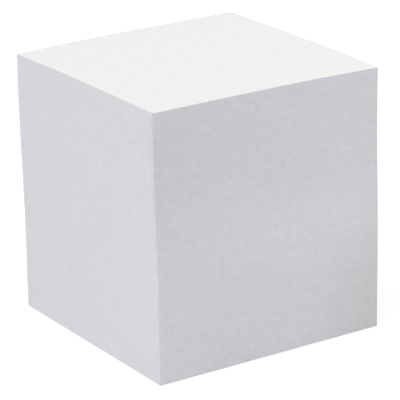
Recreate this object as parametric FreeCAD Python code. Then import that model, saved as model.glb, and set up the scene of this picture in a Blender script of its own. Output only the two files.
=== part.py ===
# Memo cube: a free-standing block of plain square note sheets, with no cover,
# band or backing board. The block is one solid. Its four sides are the cut
# edges of some nine hundred sheets, which lie in small lifts: every few sheets
# there is a fine seam, and each lift sits a hair to one side of the lift below.
#
# Frame: the block stands on z = 0, the middle of its base is the origin, and
# its sides face along X and Y. Millimetres.
import FreeCAD, Part

import itertools
import math
import os

# ---- Driving dimensions ------------------------------------------------------
SHEET_WIDTH = 90.0         # a square note sheet, cut edge to cut edge
STACK_HEIGHT = 95.0        # the block from the table to its top sheet
SHEET_PITCH = 0.1056       # one sheet of 80 g/m2 paper and the air that lies on it
LIFT_SHEETS = (6, 4, 7, 3, 5)   # sheets in each lift, repeated up the block

SEAM_DEPTH = 0.08          # how far the seam between two lifts goes in
SEAM_HEIGHT = 0.10         # how wide the seam is open at the cut face
LIFT_JOG = 0.04            # how far a lift may sit off the line of the block
STACK_SWAY = 0.12          # how far the line of the block wanders to each side
SWAY_WAVE = 73.0           # height of one full wave of that wander
SWAY_TURN = -32.5          # its direction from +X, degrees

# Successive lifts turn by the golden angle, so that their jogs never line up.
GOLDEN_ANGLE = math.pi * (3.0 - math.sqrt(5.0))


def seam_levels():
    """Heights of the base, of every seam between two lifts, and of the top."""
    sheet_count = round(STACK_HEIGHT / SHEET_PITCH)
    sheet_height = STACK_HEIGHT / sheet_count
    levels = [0.0]
    sheets_laid = 0
    for lift_sheets in itertools.cycle(LIFT_SHEETS):
        sheets_laid = min(sheets_laid + lift_sheets, sheet_count)
        levels.append(sheets_laid * sheet_height)
        if sheets_laid == sheet_count:
            return levels


def lift_centre(index, level):
    """Where one lift lies: the slow wander of the block and the lift's own jog."""
    sway = -STACK_SWAY * math.cos(2.0 * math.pi * level / SWAY_WAVE)
    turn = math.radians(SWAY_TURN)
    jog_turn = index * GOLDEN_ANGLE
    return FreeCAD.Vector(sway * math.cos(turn) + LIFT_JOG * math.cos(jog_turn),
                          sway * math.sin(turn) + LIFT_JOG * math.sin(jog_turn),
                          0.0)


def sheet_outline(centre, level, inset=0.0):
    """The square outline of the sheets at one height, as a closed wire."""
    half = SHEET_WIDTH / 2.0 - inset
    corners = [centre + FreeCAD.Vector(x * half, y * half, level)
               for x, y in ((-1, -1), (1, -1), (1, 1), (-1, 1))]
    return Part.makePolygon(corners + corners[:1])


def block_outlines():
    """Outlines up the block: each lift's straight sides, and the seam above it."""
    levels = seam_levels()
    lifts = list(zip(levels[:-1], levels[1:]))
    centres = [lift_centre(index, (low + high) / 2.0)
               for index, (low, high) in enumerate(lifts)]
    outlines = [sheet_outline(centres[0], 0.0)]
    for level, below, above in zip(levels[1:-1], centres[:-1], centres[1:]):
        outlines.append(sheet_outline(below, level - SEAM_HEIGHT / 2.0))
        outlines.append(sheet_outline((below + above) / 2.0, level, SEAM_DEPTH))
        outlines.append(sheet_outline(above, level + SEAM_HEIGHT / 2.0))
    outlines.append(sheet_outline(centres[-1], STACK_HEIGHT))
    return outlines


def make_paper_block():
    """One solid, ruled from outline to outline, flat on its base and its top."""
    return Part.makeLoft(block_outlines(), True, True)


os.makedirs("parts", exist_ok=True)
paper_block = make_paper_block()
paper_block.exportStep("parts/paper_block.step")

box = paper_block.BoundBox
print("paper_block", paper_block.ShapeType, len(paper_block.Faces), "faces",
      "valid", paper_block.isValid(), "volume", round(paper_block.Volume, 1))
print("x", round(box.XMin, 3), round(box.XMax, 3), "y", round(box.YMin, 3),
      round(box.YMax, 3), "z", round(box.ZMin, 3), round(box.ZMax, 3))
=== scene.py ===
# %% [markdown]
# # A memo cube: nine hundred white note sheets
#
# The object is a block of plain square note sheets, cut flush on four sides.
# It looks simple, and that is the lesson: almost all of its look sits in the
# four cut sides, where nine hundred paper edges lie on each other, and in how
# they take the light a little differently from the smooth sheet on top.
#
# We load the block's solid as a fixed frame first. It says how large the block
# is, and everything below takes its size from it.

# %% Load the frame
import math

import bpy
import numpy as np
from mathutils import Matrix, Vector


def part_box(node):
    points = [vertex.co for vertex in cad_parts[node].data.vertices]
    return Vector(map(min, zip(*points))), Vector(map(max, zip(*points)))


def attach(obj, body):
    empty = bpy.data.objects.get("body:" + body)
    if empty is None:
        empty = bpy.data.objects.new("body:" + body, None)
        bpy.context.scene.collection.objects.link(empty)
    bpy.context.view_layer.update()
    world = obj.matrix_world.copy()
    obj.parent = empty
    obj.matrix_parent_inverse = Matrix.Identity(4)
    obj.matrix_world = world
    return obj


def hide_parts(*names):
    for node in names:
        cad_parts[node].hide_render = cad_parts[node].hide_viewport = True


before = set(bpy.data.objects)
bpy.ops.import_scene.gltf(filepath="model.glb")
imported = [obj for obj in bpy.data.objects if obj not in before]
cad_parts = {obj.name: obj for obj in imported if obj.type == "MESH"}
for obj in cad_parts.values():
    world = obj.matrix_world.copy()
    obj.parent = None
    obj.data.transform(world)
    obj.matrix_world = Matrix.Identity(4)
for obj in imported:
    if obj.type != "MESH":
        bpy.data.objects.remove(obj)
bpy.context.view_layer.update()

MM = 0.001                  # a millimetre, because Blender counts in metres

block_low, block_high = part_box("paper_block")
STACK_HEIGHT = block_high.z - block_low.z
print("block", [round(side / MM, 2) for side in block_high - block_low], "mm")

# %% [markdown]
# ## How one sheet is measured
#
# A note sheet is 90 mm square. A sheet of ordinary writing paper and the air
# that lies on it take a little over a tenth of a millimetre, so the height of
# the block tells how many sheets there are. The solid is a hair wider than a
# sheet, because the sheets don't lie exactly above each other: that spare room
# is what our own sheets may wander in.

# %% Sheet sizes
SHEET_SIDE = 90.0 * MM
SHEET_COUNT = 900
SHEET_PITCH = STACK_HEIGHT / SHEET_COUNT
AIR_GAP = 0.026 * MM        # how wide the line between two sheets is open
AIR_DEPTH = 0.030 * MM      # how far that line goes in before paper touches paper
CORNER_WEAR = 0.30 * MM     # radius that handling has put on the sharp corners
SIDE_CELLS = 6              # cells along a side of the sheet's face
INNER_SPREAD = 1.27         # how much its inner lines are moved outwards

room = (np.array((block_high - block_low).xy) - SHEET_SIDE) / 2
print("sheet pitch", round(SHEET_PITCH / MM, 4), "mm; room to wander",
      (room / MM).round(3), "mm")

# %% [markdown]
# ## The face of a sheet
#
# Only two sheet faces can ever be seen: the top of the stack and its underside.
# A grid primitive gives a face with a few cells, so that it can bend a little
# later on. It will bend most near its corners, so the inner lines are scaled
# outwards, which leaves the smallest cells there. The four corner points are
# bevelled, because paper corners never stay needle sharp. Everything is
# deselected first: an operator acts on all that is selected, and loading the
# frame leaves its solid selected.

# %% Draw the sheet face
def deselect_all():
    """Leaves nothing selected, so that no operator acts on more than it should."""
    bpy.ops.object.select_all(action="DESELECT")


def select_points(piece, wanted):
    """Selects the points of a mesh that the wanted(point) test picks, in edit mode."""
    bpy.ops.mesh.select_all(action="DESELECT")
    bpy.ops.object.mode_set(mode="OBJECT")
    for point in piece.data.vertices:
        point.select = wanted(point.co)
    bpy.ops.object.mode_set(mode="EDIT")


def on_rim(distance):
    """Whether a point this far from the middle lies on a side of the sheet."""
    return abs(distance) > SHEET_SIDE / 2 - CORNER_WEAR / 2


deselect_all()
bpy.ops.mesh.primitive_grid_add(x_subdivisions=SIDE_CELLS, y_subdivisions=SIDE_CELLS,
                                size=SHEET_SIDE, location=(0, 0, 0))
sheet_face = bpy.context.object
sheet_face.name = "sheet_face"
bpy.ops.object.mode_set(mode="EDIT")
bpy.ops.mesh.select_mode(type="VERT")
select_points(sheet_face, lambda place: not on_rim(place.x))
bpy.ops.transform.resize(value=(INNER_SPREAD, 1, 1), center_override=(0, 0, 0))
select_points(sheet_face, lambda place: not on_rim(place.y))
bpy.ops.transform.resize(value=(1, INNER_SPREAD, 1), center_override=(0, 0, 0))
select_points(sheet_face, lambda place: on_rim(place.x) and on_rim(place.y))
bpy.ops.mesh.bevel(offset=CORNER_WEAR, segments=2, affect="VERTICES")
bpy.ops.object.mode_set(mode="OBJECT")
print("sheet face", len(sheet_face.data.vertices), "points,",
      len(sheet_face.data.polygons), "faces")

# %% [markdown]
# ## The cut edge of one sheet
#
# Seen from the side, one sheet is a narrow flat band with a thin line of air
# above and below it. The band is drawn once: the outline of the sheet face is
# kept, everything inside it is deleted, and the outline is extruded upwards in
# three steps. It starts deep in the line of air, comes out to the cut face,
# climbs the thickness of the paper, and goes back in.

# %% Raise the cut edge
def grow(offset):
    """The factor that moves the outline of a sheet outwards by an offset."""
    return 1 + 2 * offset / SHEET_SIDE


def raise_outline(height, factor):
    """Extrudes the selected outline up, and scales it about the middle of the block."""
    bpy.ops.mesh.extrude_edges_move(TRANSFORM_OT_translate={"value": (0, 0, height)})
    bpy.ops.transform.resize(value=(factor, factor, 1), center_override=(0, 0, 0))


deselect_all()
sheet_face.select_set(True)
bpy.ops.object.duplicate()
note_sheets = bpy.context.object
note_sheets.name = "note_sheets"
bpy.ops.object.mode_set(mode="EDIT")
bpy.ops.mesh.select_all(action="SELECT")
bpy.ops.mesh.region_to_loop()
bpy.ops.mesh.select_mode(type="VERT")
bpy.ops.mesh.select_all(action="INVERT")
bpy.ops.mesh.delete(type="VERT")
bpy.ops.mesh.select_all(action="SELECT")
bpy.ops.transform.resize(value=(grow(-AIR_DEPTH), grow(-AIR_DEPTH), 1),
                         center_override=(0, 0, 0))
raise_outline(AIR_GAP / 2, 1 / grow(-AIR_DEPTH))
raise_outline(SHEET_PITCH - AIR_GAP, 1)
raise_outline(AIR_GAP / 2, grow(-AIR_DEPTH))
bpy.ops.object.mode_set(mode="OBJECT")
print("one cut edge", len(note_sheets.data.vertices), "points,",
      len(note_sheets.data.polygons), "faces")

# %% [markdown]
# ## Nine hundred of them
#
# The Array modifier lays the same edge again and again, one pitch higher each
# time. Merge welds each copy to the one below, so that the four sides become
# one skin and no sheet floats. Applying it gives real geometry that the later
# steps can move sheet by sheet.

# %% Stack the sheets
WELD_DISTANCE = AIR_GAP / 20    # points nearer to each other than this become one

array = note_sheets.modifiers.new("stack", "ARRAY")
array.count = SHEET_COUNT
array.use_relative_offset = False
array.use_constant_offset = True
array.constant_offset_displace = (0, 0, SHEET_PITCH)
array.use_merge_vertices = True
array.merge_threshold = WELD_DISTANCE
bpy.ops.object.modifier_apply(modifier="stack")
print("stack", len(note_sheets.data.vertices), "points, height",
      round(note_sheets.dimensions.z / MM, 3), "mm")

# %% [markdown]
# ## Close it with the two faces that show
#
# The sheet face is shrunk to the inner outline and copied to the base and the
# top. Joining and welding make one closed shell. The new points sit exactly on
# the outline's points, so a tiny merge distance is enough, and it can't eat the
# fine air lines. Recalculating the normals turns every face outwards.

# %% Close the block
deselect_all()
bpy.context.view_layer.objects.active = sheet_face
sheet_face.select_set(True)
bpy.ops.transform.resize(value=(grow(-AIR_DEPTH), grow(-AIR_DEPTH), 1),
                         center_override=(0, 0, 0))
bpy.ops.object.duplicate()
bpy.ops.transform.translate(value=(0, 0, STACK_HEIGHT))
sheet_face.select_set(True)
note_sheets.select_set(True)
bpy.context.view_layer.objects.active = note_sheets
bpy.ops.object.transform_apply(location=True, rotation=True, scale=True)
bpy.ops.object.join()
bpy.ops.object.mode_set(mode="EDIT")
bpy.ops.mesh.select_all(action="SELECT")
bpy.ops.mesh.remove_doubles(threshold=WELD_DISTANCE)
bpy.ops.mesh.normals_make_consistent(inside=False)
bpy.ops.object.mode_set(mode="OBJECT")
print("closed block", len(note_sheets.data.vertices), "points,",
      len(note_sheets.data.polygons), "faces")

# %% [markdown]
# ## Which faces are paper face, and which are cut edge
#
# The block gets two finishes: the smooth face of a sheet, and the cut edges.
# While the block is still perfectly square, a face's normal tells them apart,
# so the material slots are given now, before anything is bent.

# %% Sort the faces
FACE_SLOT, EDGE_SLOT = 0, 1
UPRIGHT = 0.99              # a normal that points this much up or down is upright

for polygon in note_sheets.data.polygons:
    lies_flat = abs(polygon.normal.z) > UPRIGHT
    polygon.material_index = FACE_SLOT if lies_flat else EDGE_SLOT
print("flat faces", sum(p.material_index == FACE_SLOT for p in note_sheets.data.polygons))

# %% [markdown]
# ## Unfold the block like a cardboard box
#
# When a model leaves Blender, its patterns travel as images, and a UV map says
# where on the image each face lies. Smart UV Project would cut the sides into
# thousands of strips, one for each sheet, all thinner than a hair, and the
# image could hold none of them. So the block is unfolded by place instead. Each
# side becomes one upright panel, as if the sheets were one solid wall, and the
# top and the underside are panels too. Seen from outside, no panel is a mirror
# image.
#
# `foreach_get` and `foreach_set` read and write a value of all the points or
# faces of a mesh at once, where a loop over them would be slow.

# %% Unfold the block
MAP_NAME = "OFBake"
PANEL_COLUMNS, PANEL_ROWS = 3, 2
PANEL_RIM = 0.012           # free rim round each panel, as a part of its size

# For each panel: where it looks, and which way is across and which is up on it.
PANELS = np.array((((1, 0, 0), (0, 1, 0), (0, 0, 1)),
                   ((-1, 0, 0), (0, -1, 0), (0, 0, 1)),
                   ((0, 1, 0), (-1, 0, 0), (0, 0, 1)),
                   ((0, -1, 0), (1, 0, 0), (0, 0, 1)),
                   ((0, 0, 1), (1, 0, 0), (0, 1, 0)),
                   ((0, 0, -1), (-1, 0, 0), (0, 1, 0))))
SIDE_PANELS = 4             # the first four are the sides


def read(items, name, kind, width=1):
    """One value, or a row of them, for each item of a mesh."""
    values = np.empty(len(items) * width, kind)
    items.foreach_get(name, values)
    return values.reshape(-1, width) if width > 1 else values


def share_of_block(places):
    """Places as shares of the block, from -0.5 to 0.5 along each direction."""
    size = np.array((SHEET_SIDE, SHEET_SIDE, STACK_HEIGHT))
    return (places - (0, 0, STACK_HEIGHT / 2)) / size


def unfold(mesh):
    """Lays each face on the panel that it looks out of, and returns their panels."""
    is_flat = read(mesh.polygons, "material_index", np.int32) == FACE_SLOT
    looks = share_of_block(read(mesh.polygons, "center", np.float32, 3)) @ PANELS[:, 0].T
    looks[is_flat, :SIDE_PANELS] = -1
    looks[~is_flat, SIDE_PANELS:] = -1
    panel_of_face = looks.argmax(1)
    panel = panel_of_face.repeat(read(mesh.polygons, "loop_total", np.int32))
    corner = read(mesh.loops, "vertex_index", np.int32)
    place = share_of_block(read(mesh.vertices, "co", np.float32, 3))[corner]
    on_panel = np.column_stack([(place * PANELS[panel, way]).sum(1) for way in (1, 2)])
    on_panel = 0.5 + on_panel * (1 - 2 * PANEL_RIM)
    cell = np.column_stack([panel % PANEL_COLUMNS, panel // PANEL_COLUMNS])
    spread = (on_panel + cell) / (PANEL_COLUMNS, PANEL_ROWS)
    mesh.uv_layers.active.name = MAP_NAME
    mesh.uv_layers.active.uv.foreach_set("vector", spread.astype(np.float32).ravel())
    return panel_of_face


print("faces on each panel", np.bincount(unfold(note_sheets.data)))

# %% [markdown]
# ## Let the sheets wander
#
# A real block isn't ruler straight. It is knocked up from small lifts of a few
# sheets, each lift lies a few hundredths of a millimetre to one side, and the
# whole block leans slowly one way and back. It was knocked against a stop with
# its left and right sides, so the sheets lie a little truer there than at the
# front and the back. Every sheet here gets one sideways drift, drawn from a
# seeded random generator so that each run gives the same block. The points in a
# line of air belong to two sheets, so they take the mean of both, and the skin
# stays closed.

# %% Drift of each sheet
SWAY_WAVE = 73.0 * MM       # height of one full wave of the block's slow lean
SWAY_WAY = np.array((1, -1))    # it leans to the right and forwards at once
LIFT_JOG = np.array((0.018, 0.030)) * MM    # how far a lift may lie off the line, X and Y
SHEET_JOG = np.array((0.006, 0.008)) * MM   # how far one sheet may lie off its lift
LIFT_SHEETS = (3, 8)        # a lift holds three sheets or more, and fewer than eight

rng = np.random.default_rng(90)


def lift_of_each_sheet():
    """The number of the lift that each sheet belongs to, from the base up."""
    lifts = []
    while len(lifts) < SHEET_COUNT:
        lifts += [lifts[-1] + 1 if lifts else 0] * int(rng.integers(*LIFT_SHEETS))
    return np.array(lifts[:SHEET_COUNT])


def sheet_drift():
    """How far each sheet lies from the middle, as (x, y) in metres."""
    heights = (np.arange(SHEET_COUNT) + 0.5) * SHEET_PITCH
    lean = -np.cos(2 * math.pi * heights / SWAY_WAVE)[:, None]
    sway = lean * (room - LIFT_JOG - SHEET_JOG) * SWAY_WAY
    lifts = lift_of_each_sheet()
    lift_jogs = rng.uniform(-LIFT_JOG, LIFT_JOG, (lifts[-1] + 1, 2))
    return sway + lift_jogs[lifts] + rng.uniform(-SHEET_JOG, SHEET_JOG, (SHEET_COUNT, 2))


drift = sheet_drift()
print("drift", (drift.min(0) / MM).round(3), "to", (drift.max(0) / MM).round(3), "mm")

# %% [markdown]
# ## Move each sheet by its drift
#
# The drift is laid on the mesh by height. A point's height, counted in sheets,
# says which sheet it belongs to. A point in a line of air has a whole number
# there, give or take a hair, and lies between two sheets.

# %% Lay the drift on the mesh
HAIR = 0.01                 # a share of a sheet's height that counts as nothing


def move_points(piece, shift):
    """Moves every point of a mesh by what shift(points) gives for it."""
    points = read(piece.data.vertices, "co", np.float32, 3)
    points += shift(points)
    piece.data.vertices.foreach_set("co", points.ravel())
    piece.data.update()


def drift_at(points):
    """The drift of the sheet that a point belongs to, or of the two it lies between."""
    level = points[:, 2] / SHEET_PITCH
    below = np.clip(np.ceil(level - HAIR).astype(int) - 1, 0, SHEET_COUNT - 1)
    above = np.clip(np.floor(level + HAIR).astype(int), 0, SHEET_COUNT - 1)
    sideways = (drift[below] + drift[above]) / 2
    return np.column_stack([sideways, np.zeros(len(points))])


move_points(note_sheets, drift_at)
print("moved", len(note_sheets.data.vertices), "points")

# %% [markdown]
# ## Sink the corners
#
# Air lies between loose sheets, and it leaves most easily at the corners. The
# two corners that a hand takes hold of to square up the block are pressed down
# by a little over half a millimetre, the other two hardly at all. A Lattice is
# the simplest way to bend a whole block: a cage of a few points, of which the
# four at the top corners are pressed down. All sheets between take their share,
# and the base stays flat on the table.

# %% Press the corners down
HELD_SINK = 0.90 * MM       # how far the cage is pressed down at the held corners
FREE_SINK = 0.20 * MM       # and at the other two
CAGE_POINTS = (5, 5, 2)     # points of the cage along X, Y and Z
CAGE_RIM = 0.4              # its outermost points lie at 0.5, and the next ones at 0.25


def make_cage():
    """A cage round the block, with its four top corners pressed down."""
    deselect_all()
    bpy.ops.object.add(type="LATTICE", location=(0, 0, STACK_HEIGHT / 2))
    cage = bpy.context.object
    cage.scale = (SHEET_SIDE, SHEET_SIDE, STACK_HEIGHT)
    cage.data.points_u, cage.data.points_v, cage.data.points_w = CAGE_POINTS
    cage.data.interpolation_type_w = "KEY_LINEAR"
    for point in cage.data.points:
        at_corner = min(abs(point.co.x), abs(point.co.y)) > CAGE_RIM
        if at_corner and point.co.z > 0:
            held = point.co.x * point.co.y < 0
            point.co_deform.z -= (HELD_SINK if held else FREE_SINK) / STACK_HEIGHT
    return cage


cage = make_cage()
bend = note_sheets.modifiers.new("corners", "LATTICE")
bend.object = cage
deselect_all()
note_sheets.select_set(True)
bpy.context.view_layer.objects.active = note_sheets
bpy.context.view_layer.update()
bpy.ops.object.modifier_apply(modifier="corners")
bpy.data.objects.remove(cage)
top_points = [note_sheets.data.vertices[index].co.z
              for face in note_sheets.data.polygons
              if face.material_index == FACE_SLOT and face.normal.z > 0
              for index in face.vertices]
print("top sheet lies from", round(min(top_points) / MM, 3), "to",
      round(max(top_points) / MM, 3), "mm")

# %% [markdown]
# ## Soft where it bends, sharp where it is cut
#
# The top sheet bends softly and should shade that way, while each sheet's cut
# edge must stay crisp. Smoothing by angle does both: only neighbours that meet
# at less than the angle are blended.

# %% Shade the block
SMOOTH_ANGLE = 20           # degrees

bpy.ops.object.shade_smooth_by_angle(angle=math.radians(SMOOTH_ANGLE))
print("smooth faces", sum(p.use_smooth for p in note_sheets.data.polygons))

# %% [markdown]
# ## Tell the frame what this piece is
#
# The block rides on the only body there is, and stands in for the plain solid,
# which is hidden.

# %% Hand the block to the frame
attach(note_sheets, "root")
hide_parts("paper_block")
print("note_sheets rides on root")

# %% [markdown]
# ## Helpers for building materials
#
# A node material is a small wiring job: put a node down, set its values, run a
# wire. A few helpers keep the cells below short. All patterns are given as
# sizes in millimetres: a Mapping node of the Texture kind moves, turns and
# resizes a pattern just as one would move, turn and resize an object.

# %% Node helpers
def put(tree, kind, **values):
    """Adds a node, sets its properties, and returns it."""
    node = tree.nodes.new(kind)
    for name, value in values.items():
        setattr(node, name, value)
    return node


def feed(tree, node, **inputs):
    """Wires sockets into, or sets numbers on, a node's inputs, by input name."""
    for name, value in inputs.items():
        socket = node.inputs[name.replace("_", " ")]
        if isinstance(value, bpy.types.NodeSocket):
            tree.links.new(value, socket)
        else:
            socket.default_value = value
    return node


def calculate(tree, operation, first, second):
    """A Math node on two sockets or numbers, and its result."""
    node = put(tree, "ShaderNodeMath", operation=operation)
    for socket, value in zip(node.inputs, (first, second)):
        if isinstance(value, bpy.types.NodeSocket):
            tree.links.new(value, socket)
        else:
            socket.default_value = value
    return node.outputs[0]


def noise(tree, vector, detail=2.0, roughness=0.5):
    """A Noise texture's factor, with one feature to each unit of the vector."""
    node = put(tree, "ShaderNodeTexNoise")
    feed(tree, node, Vector=vector, Scale=1.0, Detail=detail, Roughness=roughness)
    return node.outputs["Fac"]


def lay_out(tree, vector, size, turn=(0, 0, 0), centre=(0, 0, 0)):
    """The vector as seen from a pattern of this size, turned and centred like this."""
    node = put(tree, "ShaderNodeMapping", vector_type="TEXTURE")
    feed(tree, node, Vector=vector, Scale=size, Rotation=turn, Location=centre)
    return node.outputs[0]


print("node helpers ready")

# %% [markdown]
# ## Paper fibre, as a node group
#
# Paper is a felt of fine fibres. From close by, the surface has hair-fine
# ridges lying every way. From further off, it is very slightly cloudy, because
# the pulp settles in flocks of a few millimetres. Both finishes need this, so
# it is one node group with named sockets: it gives a height for the bump, and
# a cloud value for the colour and the roughness.

# %% Paper fibre group
FIBRE_TURNS = (17, 77, 137)         # directions that the fibres lie in, degrees
FIBRE_SIZE = (1.0, 0.15, 0.15)      # length and width of a fibre, millimetres
FIBRE_RELIEF = 0.006 * MM           # how high the fibres stand, for the bump
CLOUD_DETAIL = 5.0                  # how many finer clouds lie in a cloud
CLOUD_ROUGHNESS = 0.85              # and how strong those are


def new_group(name, inputs, outputs):
    """A shader node group with its Group Input and Group Output nodes."""
    group = bpy.data.node_groups.new(name, "ShaderNodeTree")
    for label, kind, value in inputs:
        socket = group.interface.new_socket(name=label, in_out="INPUT", socket_type=kind)
        if value is not None:
            socket.default_value = value
    for label in outputs:
        group.interface.new_socket(name=label, in_out="OUTPUT",
                                   socket_type="NodeSocketFloat")
    return group, put(group, "NodeGroupInput"), put(group, "NodeGroupOutput")


def make_fibre_group():
    """Height: crossing fibres. Cloud: soft flocks in the pulp, round 0.5."""
    group, given, result = new_group(
        "paper_fibre",
        [("Vector", "NodeSocketVector", None), ("Cloud Size", "NodeSocketVector", None)],
        ["Height", "Cloud"])
    place = given.outputs["Vector"]
    height = None
    for turn in FIBRE_TURNS:
        along = lay_out(group, place, FIBRE_SIZE, (math.radians(turn), 0, math.radians(turn)))
        fibre = noise(group, along)
        height = fibre if height is None else calculate(group, "MAXIMUM", height, fibre)
    cloud = noise(group, lay_out(group, place, given.outputs["Cloud Size"]),
                  detail=CLOUD_DETAIL, roughness=CLOUD_ROUGHNESS)
    group.links.new(height, result.inputs["Height"])
    group.links.new(cloud, result.inputs["Cloud"])
    return group


paper_fibre = make_fibre_group()
print("group", paper_fibre.name, [item.name for item in paper_fibre.interface.items_tree])

# %% [markdown]
# ## The finish of a sheet's face
#
# Uncoated writing paper is matt and nearly white, with a touch of warmth. Its
# colour is written as plain numbers a little under white, so that it keeps its
# tone in bright light. The cloud shifts that colour by about a hundredth, and
# the fibre only shows as a bump of a few thousandths of a millimetre.

# %% Sheet face material
FACE_WHITE = (0.877, 0.875, 0.858)
FACE_CLOUDING = 0.145       # how far the flocks may shift the colour, dark to light
FACE_CLOUD = (5.0, 5.0, 5.0)    # size of a flock, millimetres
FACE_ROUGHNESS = 0.85
FACE_ROUGHNESS_SHIFT = 0.15     # how far the flocks may shift it
FACE_SPECULAR = 0.35


def new_material(name):
    """A material with a Principled shader, and Object coordinates in millimetres."""
    material = bpy.data.materials.new(name)
    material.use_nodes = True
    tree = material.node_tree
    shader = tree.nodes["Principled BSDF"]
    where = put(tree, "ShaderNodeTexCoord").outputs["Object"]
    return material, tree, shader, lay_out(tree, where, (MM, MM, MM))


def tint(tree, colour, factor):
    """A colour times a factor that changes over the surface."""
    node = put(tree, "ShaderNodeVectorMath", operation="SCALE")
    feed(tree, node, Vector=colour, Scale=factor)
    return node.outputs[0]


def factor_round_one(tree, value, spread):
    """Turns a value that lies round 0.5 into a factor that lies round 1."""
    offset = calculate(tree, "SUBTRACT", value, 0.5)
    return calculate(tree, "ADD", calculate(tree, "MULTIPLY", offset, spread), 1.0)


def fibre_on(tree, place, cloud_size):
    """Places the paper fibre group in a material, and returns its height and cloud."""
    node = put(tree, "ShaderNodeGroup", node_tree=paper_fibre)
    feed(tree, node, Vector=place, Cloud_Size=cloud_size)
    return node.outputs["Height"], node.outputs["Cloud"]


def raise_bump(tree, shader, height, distance):
    """Feeds a height to the shader's normal, as relief of a distance in metres."""
    bump = put(tree, "ShaderNodeBump")
    feed(tree, bump, Height=height, Distance=distance, Strength=1.0)
    tree.links.new(bump.outputs["Normal"], shader.inputs["Normal"])


def make_sheet_face():
    """Matt white writing paper, a touch warm."""
    material, tree, shader, place = new_material("sheet_face")
    height, cloud = fibre_on(tree, place, FACE_CLOUD)
    colour = tint(tree, FACE_WHITE, factor_round_one(tree, cloud, FACE_CLOUDING))
    roughness = calculate(tree, "MULTIPLY", FACE_ROUGHNESS,
                          factor_round_one(tree, cloud, FACE_ROUGHNESS_SHIFT))
    feed(tree, shader, Base_Color=colour, Roughness=roughness,
         Specular_IOR_Level=FACE_SPECULAR)
    raise_bump(tree, shader, height, FIBRE_RELIEF)
    return material


sheet_face_finish = make_sheet_face()
print("material", sheet_face_finish.name, len(sheet_face_finish.node_tree.nodes), "nodes")

# %% [markdown]
# ## What varies on the cut edges
#
# A guillotine cuts the whole block at once. The cut faces look matt, a little
# greyer and cooler than the sheet on top, because light is lost between the
# sheets. Five faint things vary there: one sheet is a shade off the next; small
# groups of edges form short streaks along the sheets; the blade leaves hair
# lines that run straight down; the pulp's own clouds show through; and batches
# of paper, about a centimetre thick, are a hair lighter or darker. Each of them
# is a noise pattern, drawn out to its own size along X, Y and Z.

# %% Cut edge patterns
EDGE_WHITE = (0.801, 0.807, 0.842)

# Each pattern: its size along X, Y and Z in millimetres, and how far it may
# shift the colour, dark to light.
SHEET_SIZE, SHEET_TONE = (11.0, 11.0, SHEET_PITCH / MM), 0.10
LIFT_SIZE, LIFT_TONE = (25.0, 25.0, 0.9), 0.042
BLADE_SIZE, BLADE_TONE = (1.1, 1.1, 33.0), 0.02
FLOCK_SIZE, FLOCK_TONE = (3.0, 3.0, 3.0), 0.18
BATCH_SIZE, BATCH_TONE = (14.0, 14.0, 10.0), 0.030
LIFT_DETAIL = 3.0           # how many finer streaks lie in a lift's streaks

print("one sheet's streaks", [round(float(size), 4) for size in SHEET_SIZE], "mm")

# %% [markdown]
# ## Along the grain and across it
#
# The fibres of machine-made paper lie mostly one way, which is its grain. The
# front and the back are cut across the grain, which tears the fibres a little,
# so their streaks and clouds are stronger than those of the other two sides.
# The normal of a face tells which pair of sides it lies on.

# %% Grain
GRAIN_EXTRA = 0.45          # how much stronger streaks and clouds are across the grain


def across_the_grain(tree):
    """1 on the two sides that face along Y, and 0 on the two that face along X."""
    parts = put(tree, "ShaderNodeSeparateXYZ")
    feed(tree, parts, Vector=put(tree, "ShaderNodeNewGeometry").outputs["Normal"])
    along_x, along_y = [calculate(tree, "ABSOLUTE", parts.outputs[axis], 0.0)
                        for axis in "XY"]
    return calculate(tree, "GREATER_THAN", along_y, along_x)


def grain_strength(tree):
    """1 along the grain, and more across it."""
    extra = calculate(tree, "MULTIPLY", across_the_grain(tree), GRAIN_EXTRA)
    return calculate(tree, "ADD", extra, 1.0)


print("across the grain, streaks and clouds are", 1 + GRAIN_EXTRA, "times as strong")

# %% [markdown]
# ## Marks, and painted light and shade
#
# There are two small marks, a millimetre or two long, where something touched
# the sides. The rest is light and shade painted into the colour: a broad patch
# of painted shade towards the top, two patches of painted light, and one lower
# corner greyer and warmer with painted shade. All of them are oval spots with a
# soft rim, placed in millimetres.

# %% Marks, and painted light and shade
# Each spot: its reach along X, Y and Z from its middle, where that lies, the share
# of the reach that is its core, and how much lighter or darker it is. First come the
# two marks, then the broad patch of painted shade and the two of painted light.
LEFT, RIGHT, FRONT = block_low.x / MM, block_high.x / MM, block_low.y / MM
MARKS_AND_PAINTED_LIGHT = (((3.0, 1.0, 0.50), (LEFT, -32.5, 81.6), 0.4, -0.120),
          ((1.2, 3.0, 1.35), (5.2, FRONT, 67.8), 0.4, -0.080),
          ((94.0, 4.0, 30.0), (-60.0, FRONT, 79.0), 0.0, -0.037),
          ((64.0, 4.0, 21.5), (17.6, FRONT, 44.0), 0.0, 0.042),
          ((4.0, 60.0, 64.0), (LEFT, -44.0, 32.5), 0.0, 0.020))
EDGE_PAINTED_SHADE = (0.745, 0.745, 0.757)     # the colour of the painted shade at one lower corner
# how far the painted shade at that lower corner reaches, and where it lies
SHADE_CORNER_SIZE, SHADE_CORNER_PLACE = (32.0, 25.0, 49.0), (RIGHT, FRONT, 5.0)


def spot(tree, place, size, centre, core):
    """1 in the core of an oval spot, falling to 0 at its rim."""
    distance = put(tree, "ShaderNodeVectorMath", operation="LENGTH")
    feed(tree, distance, Vector=lay_out(tree, place, size, centre=centre))
    fade = put(tree, "ShaderNodeMapRange", interpolation_type="SMOOTHSTEP")
    feed(tree, fade, Value=distance.outputs["Value"], From_Min=core, From_Max=1.0,
         To_Min=1.0, To_Max=0.0)
    return fade.outputs["Result"]


def shade(tree, tone, share, change):
    """A tone that changes by a part of itself where the share is 1."""
    changed = calculate(tree, "MULTIPLY", share, change)
    return calculate(tree, "MULTIPLY", tone, calculate(tree, "ADD", changed, 1.0))


print(len(MARKS_AND_PAINTED_LIGHT), "spots and one handled corner")
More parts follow.
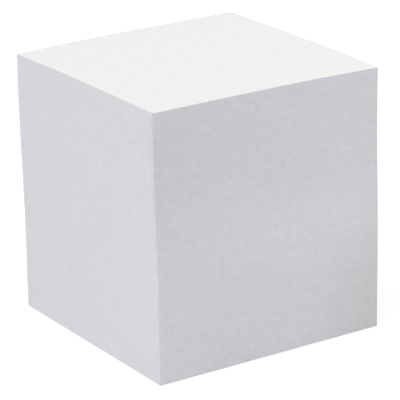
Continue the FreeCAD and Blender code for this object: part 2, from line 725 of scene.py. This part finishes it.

# %% [markdown]
# ## The finish of the cut edges
#
# The patterns are multiplied into one tone round 1, and the marks and the painted
# light and shade change it. The tone then darkens or lightens a cool white, which
# goes over into a greyer, warmer painted shade at one lower corner. Colours are
# mixed by a Mix node of the vector kind, whose sockets are found by what is
# enabled, because the node also carries the sockets of its other kinds.

# %% Cut edge material
EDGE_ROUGHNESS = 0.93
EDGE_ROUGHNESS_SHIFT = 0.10     # how far the flocks may shift it
EDGE_SPECULAR = 0.25


def blend(tree, first, second, share):
    """One colour going over into another, by the share of the second."""
    node = put(tree, "ShaderNodeMix", data_type="VECTOR")
    sockets = [socket for socket in node.inputs if socket.enabled]
    tree.links.new(share, sockets[0])
    sockets[1].default_value = first
    sockets[2].default_value = second
    return next(socket for socket in node.outputs if socket.enabled)


def edge_tone(tree, place, sheets, flocks):
    """How light the cut sides are from place to place, round 1."""
    lifts = noise(tree, lay_out(tree, place, LIFT_SIZE), detail=LIFT_DETAIL)
    blade = noise(tree, lay_out(tree, place, BLADE_SIZE))
    batches = noise(tree, lay_out(tree, place, BATCH_SIZE))
    grain = grain_strength(tree)
    tone = factor_round_one(tree, sheets, SHEET_TONE)
    for value, spread in ((lifts, calculate(tree, "MULTIPLY", grain, LIFT_TONE)),
                          (flocks, calculate(tree, "MULTIPLY", grain, FLOCK_TONE)),
                          (blade, BLADE_TONE), (batches, BATCH_TONE)):
        tone = calculate(tree, "MULTIPLY", tone, factor_round_one(tree, value, spread))
    # two marks, then broad patches of painted shade and painted light
    for size, centre, core, change in MARKS_AND_PAINTED_LIGHT:
        tone = shade(tree, tone, spot(tree, place, size, centre, core), change)
    return tone


def make_cut_edges():
    """The cut sides of the stack."""
    material, tree, shader, place = new_material("cut_edges")
    height, flocks = fibre_on(tree, place, FLOCK_SIZE)
    sheets = noise(tree, lay_out(tree, place, SHEET_SIZE))
    tone = edge_tone(tree, place, sheets, flocks)
    # painted shade, greyer and warmer towards one lower corner near the floor
    corner_shade = spot(tree, place, SHADE_CORNER_SIZE, SHADE_CORNER_PLACE, core=0.0)
    white = blend(tree, EDGE_WHITE, EDGE_PAINTED_SHADE, corner_shade)
    roughness = calculate(tree, "MULTIPLY", EDGE_ROUGHNESS,
                          factor_round_one(tree, flocks, EDGE_ROUGHNESS_SHIFT))
    feed(tree, shader, Base_Color=tint(tree, white, tone), Roughness=roughness,
         Specular_IOR_Level=EDGE_SPECULAR)
    raise_bump(tree, shader, calculate(tree, "ADD", height, sheets), FIBRE_RELIEF)
    return material


cut_edges = make_cut_edges()
for finish in (sheet_face_finish, cut_edges):
    note_sheets.data.materials.append(finish)
print("materials", [material.name for material in note_sheets.data.materials])

# %% [markdown]
# ## The table and the white background
#
# The block stands on a plain pale floor in front of white. For the camera, the
# floor is half a plain white that needs no light and half an ordinary diffuse
# white, so the block's own soft shadow still falls on it. Further off, where
# the lamps hardly reach, it glows a little more, so that no horizon shows. For
# every other ray it is an ordinary pale floor, and lights the sides from below
# as a real table does. Round the foot of the block a little light comes up
# through it, as on a light table, so that the lowest sheets aren't dimmed.

# %% Floor and world
FLOOR_SIDE = 12.0           # metres
FLOOR_PALE = 0.82           # what the floor sends back to the block
FLOOR_SHADED = 0.54         # the part of its white that takes light and shadow
NEAR_GLOW = 0.58            # the part that needs no light, round the block
FAR_GLOW = 0.68             # and that part far from it
FAR_DISTANCE = 0.9          # where it is far, metres from the middle of the block
NEAR_CORE = 0.3             # the share of that distance over which it stays near
FOOT_GLOW = 0.05            # light that comes up through it round the block's foot
FOOT_DISTANCE = 0.085       # and how far out that reaches, metres
FOOT_CORE = 0.55            # the share of that distance over which it stays full
WORLD_LIGHT = 0.688         # strength of the light from all round


def seen_directly(tree):
    """1 for rays from the camera, or by way of glossy or clear things."""
    rays = put(tree, "ShaderNodeLightPath")
    seen = calculate(tree, "MAXIMUM", rays.outputs["Is Camera Ray"],
                     rays.outputs["Is Glossy Ray"])
    return calculate(tree, "MAXIMUM", seen, rays.outputs["Is Transmission Ray"])


def pale_surface(tree, paleness, glow):
    """A diffuse white of this paleness, which also gives off light of its own."""
    surface = put(tree, "ShaderNodeBsdfDiffuse")
    surface.inputs["Color"].default_value = (paleness, paleness, paleness, 1)
    light = put(tree, "ShaderNodeEmission")
    feed(tree, light, Strength=glow)
    both = put(tree, "ShaderNodeAddShader")
    tree.links.new(surface.outputs[0], both.inputs[0])
    tree.links.new(light.outputs[0], both.inputs[1])
    return both.outputs[0]


def make_floor():
    """A wide floor at the height of the block's base."""
    deselect_all()
    bpy.ops.mesh.primitive_plane_add(size=FLOOR_SIDE, location=(0, 0, block_low.z))
    floor = bpy.context.object
    floor.name = "floor"
    material = bpy.data.materials.new("pale_floor")
    material.use_nodes = True
    tree = material.node_tree
    tree.nodes.clear()
    place = put(tree, "ShaderNodeTexCoord").outputs["Object"]
    foot = spot(tree, place, (FOOT_DISTANCE,) * 3, (0, 0, 0), FOOT_CORE)
    plain = pale_surface(tree, FLOOR_PALE, calculate(tree, "MULTIPLY", foot, FOOT_GLOW))
    near = spot(tree, place, (FAR_DISTANCE,) * 3, (0, 0, 0), NEAR_CORE)
    dimmed = calculate(tree, "MULTIPLY", near, FAR_GLOW - NEAR_GLOW)
    white = pale_surface(tree, FLOOR_SHADED, calculate(tree, "SUBTRACT", FAR_GLOW, dimmed))
    choose = put(tree, "ShaderNodeMixShader")
    tree.links.new(seen_directly(tree), choose.inputs[0])
    tree.links.new(plain, choose.inputs[1])
    tree.links.new(white, choose.inputs[2])
    output = put(tree, "ShaderNodeOutputMaterial")
    tree.links.new(choose.outputs[0], output.inputs["Surface"])
    floor.data.materials.append(material)
    return floor


def make_world():
    """White where it is seen, and soft even light everywhere else."""
    world = bpy.data.worlds.new("studio")
    bpy.context.scene.world = world
    world.use_nodes = True
    tree = world.node_tree
    background = tree.nodes["Background"]
    background.inputs["Color"].default_value = (1, 1, 1, 1)
    seen = calculate(tree, "MULTIPLY", seen_directly(tree), 1 - WORLD_LIGHT)
    tree.links.new(calculate(tree, "ADD", seen, WORLD_LIGHT), background.inputs["Strength"])


floor = make_floor()
make_world()
print("floor at", block_low.z, "and world light", WORLD_LIGHT)

# %% [markdown]
# ## Two soft lamps
#
# White paper needs gentle light. A wide soft box high up on the left makes the
# top the brightest face, and the left side brighter than the right one. A small
# weak one close by on the right lifts the far end of the right side, so that it
# isn't quite even. The lamps are weak, and most of the light comes from all
# round, so no face clips to white.

# %% Lamps
MIDDLE = (block_low + block_high) / 2


def way_out(turn, rise):
    """The direction out from the block at a turn round it and a rise, in degrees."""
    turn, rise = math.radians(turn), math.radians(rise)
    return Vector((math.sin(turn) * math.cos(rise), -math.cos(turn) * math.cos(rise),
                   math.sin(rise)))


def look_back(way):
    """The rotation of a lamp or a camera that looks back along a direction."""
    return (-way).to_track_quat("-Z", "Y")


def add_soft_box(name, turn, rise, distance, size, power):
    """A square lamp that looks at the block from a turn round it and a rise, degrees."""
    deselect_all()
    bpy.ops.object.light_add(type="AREA")
    lamp = bpy.context.object
    lamp.name = name
    lamp.data.energy = power
    lamp.data.size = size
    way = way_out(turn, rise)
    lamp.location = MIDDLE + way * distance
    lamp.rotation_euler = look_back(way).to_euler()
    print(name, "at", [round(place, 2) for place in lamp.location])


add_soft_box("key_box", turn=-90, rise=60, distance=1.2, size=0.9, power=4.64)
add_soft_box("side_box", turn=70, rise=30, distance=0.4, size=0.25, power=0.223)

# %% [markdown]
# ## The camera
#
# A long lens from a little under a metre looks at the block's front corner,
# from 19 degrees above. The long lens keeps the sides nearly parallel, as in a
# product catalogue, and a roll of just over a degree tips the uprights a hair.

# %% Camera
CAMERA_TURN = -32.54        # round the block from the front, degrees
CAMERA_RISE = 19.19
CAMERA_ROLL = -1.36
CAMERA_DISTANCE = 0.860
CAMERA_AIM = Vector((0.0, -1.43 * MM, 43.96 * MM))
LENS = 221.0                # millimetres
SENSOR_WIDTH = 36.0         # millimetres


def add_camera():
    """The camera, which looks at a point a little in front of the block's middle line."""
    deselect_all()
    bpy.ops.object.camera_add()
    camera = bpy.context.object
    camera.data.lens = LENS
    camera.data.sensor_width = SENSOR_WIDTH
    way = way_out(CAMERA_TURN, CAMERA_RISE)
    roll = Matrix.Rotation(math.radians(CAMERA_ROLL), 3, "Z")
    camera.location = CAMERA_AIM + way * CAMERA_DISTANCE
    camera.rotation_euler = (look_back(way).to_matrix() @ roll).to_euler()
    bpy.context.scene.camera = camera
    print("camera at", [round(place, 3) for place in camera.location])


add_camera()
bpy.context.scene.view_settings.view_transform = "Standard"
